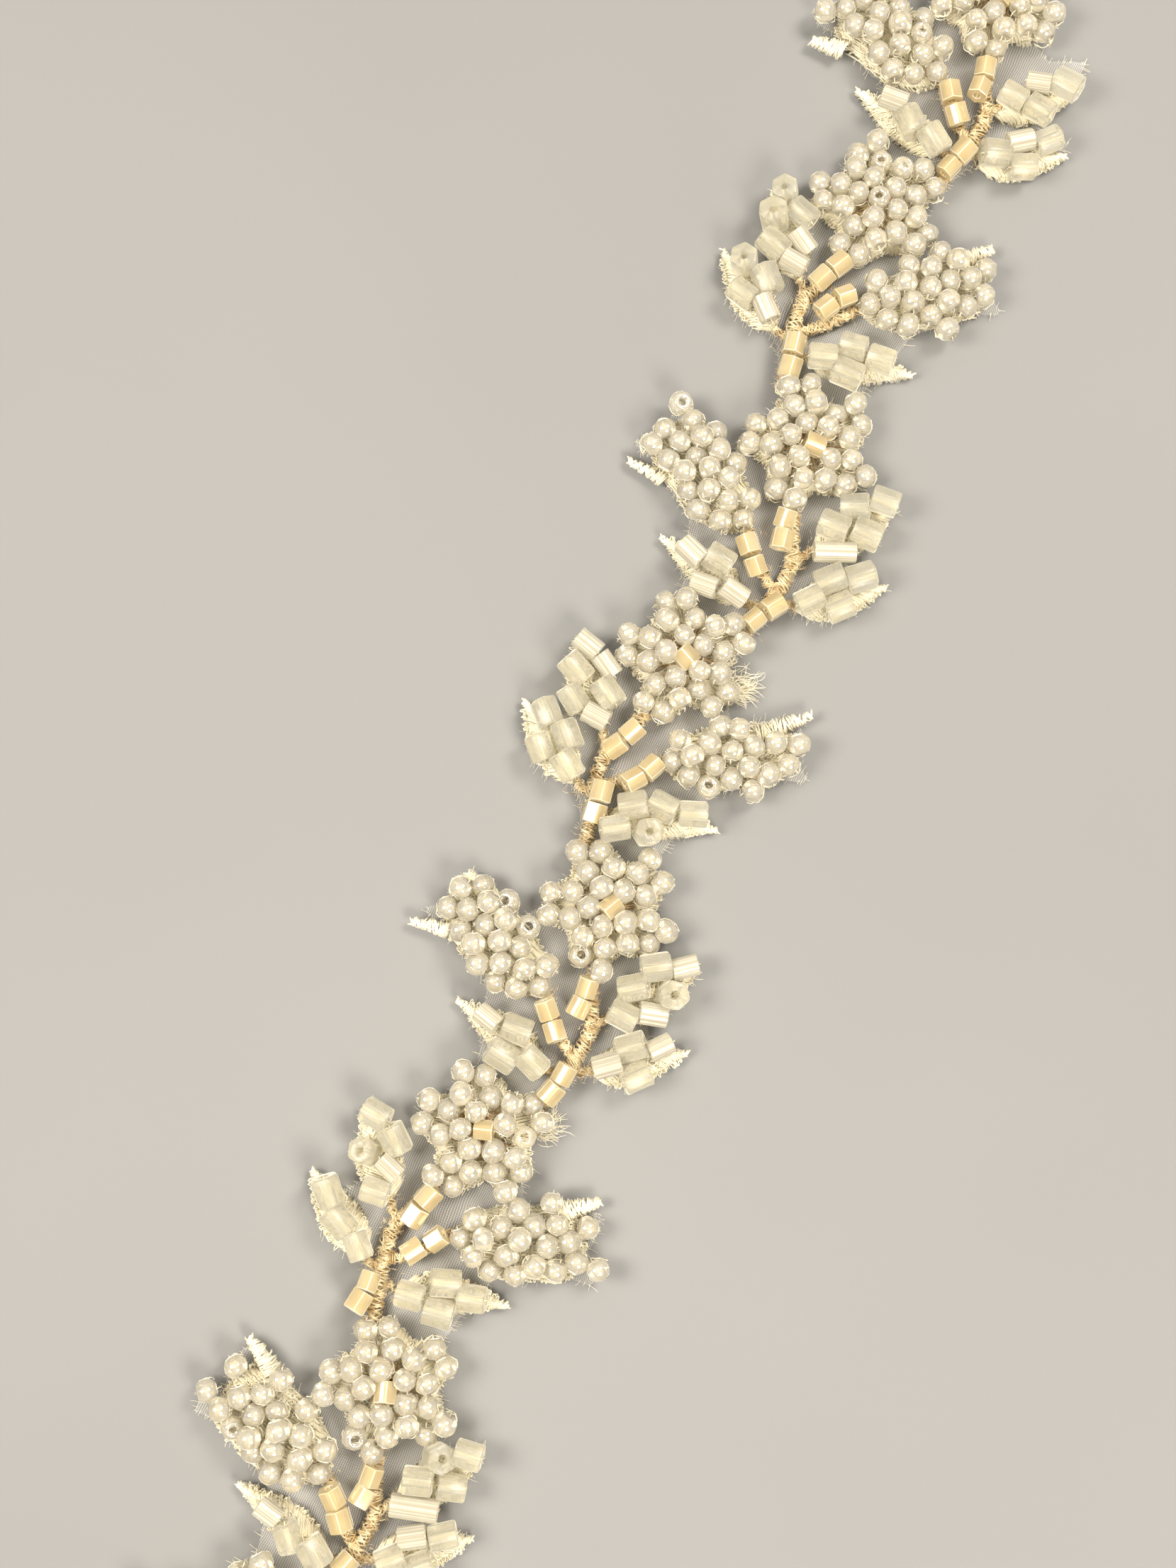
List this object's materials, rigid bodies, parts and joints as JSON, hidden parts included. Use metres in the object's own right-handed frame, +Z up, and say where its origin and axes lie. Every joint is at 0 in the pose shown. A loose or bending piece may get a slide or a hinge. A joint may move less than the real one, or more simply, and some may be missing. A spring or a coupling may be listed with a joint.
{
  "type": "beaded trim",
  "caption": "Flat beaded floral trim on an organza strip: bead flowers, buds and tube-bead leaves on a wrapped stem, sprigs turned left and right by turns.",
  "frame": {"origin": "under the middle of the trim's length and width, on the surface that it lies on", "axes": "+Y along the trim towards its upper end, +X across it, +Z up from the surface to the beads"},
  "size_m": [0.0308, 0.1926, 0.0044],
  "materials": {
    "organza": "sheer plain-weave organza, thread pitch about 0.2 mm",
    "pearl_beads": "round seed beads with a clear pearly lustre",
    "frosted_beads": "short tube beads, frosted or satin white",
    "stem_thread": "pale gold wrapped cord",
    "stem_beads": "six-sided champagne tube beads",
    "ivory_thread": "ivory satin-stitch embroidery"
  },
  "bodies": {
    "root": {"ground": "organza", "flower_1": "pearl_beads", "bud_1": "pearl_beads", "leaf_upper_1": "frosted_beads", "leaf_lower_1": "frosted_beads", "leaf_back_1": "frosted_beads", "stem_1": "stem_thread", "flower_2": "pearl_beads", "bud_2": "pearl_beads", "leaf_upper_2": "frosted_beads", "leaf_lower_2": "frosted_beads", "leaf_back_2": "frosted_beads", "stem_2": "stem_thread", "flower_3": "pearl_beads", "bud_3": "pearl_beads", "leaf_upper_3": "frosted_beads", "leaf_lower_3": "frosted_beads", "leaf_back_3": "frosted_beads", "stem_3": "stem_thread", "flower_4": "pearl_beads", "bud_4": "pearl_beads", "leaf_upper_4": "frosted_beads", "leaf_lower_4": "frosted_beads", "leaf_back_4": "frosted_beads", "stem_4": "stem_thread", "flower_5": "pearl_beads", "bud_5": "pearl_beads", "leaf_upper_5": "frosted_beads", "leaf_lower_5": "frosted_beads", "leaf_back_5": "frosted_beads", "stem_5": "stem_thread", "flower_6": "pearl_beads", "bud_6": "pearl_beads", "leaf_upper_6": "frosted_beads", "leaf_lower_6": "frosted_beads", "leaf_back_6": "frosted_beads", "stem_6": "stem_thread", "flower_7": "pearl_beads", "bud_7": "pearl_beads", "leaf_upper_7": "frosted_beads", "leaf_lower_7": "frosted_beads", "leaf_back_7": "frosted_beads", "stem_7": "stem_thread", "flower_8": "pearl_beads", "bud_8": "pearl_beads", "leaf_upper_8": "frosted_beads", "leaf_lower_8": "frosted_beads", "leaf_back_8": "frosted_beads", "stem_8": "stem_thread"}
  },
  "joints": []
}
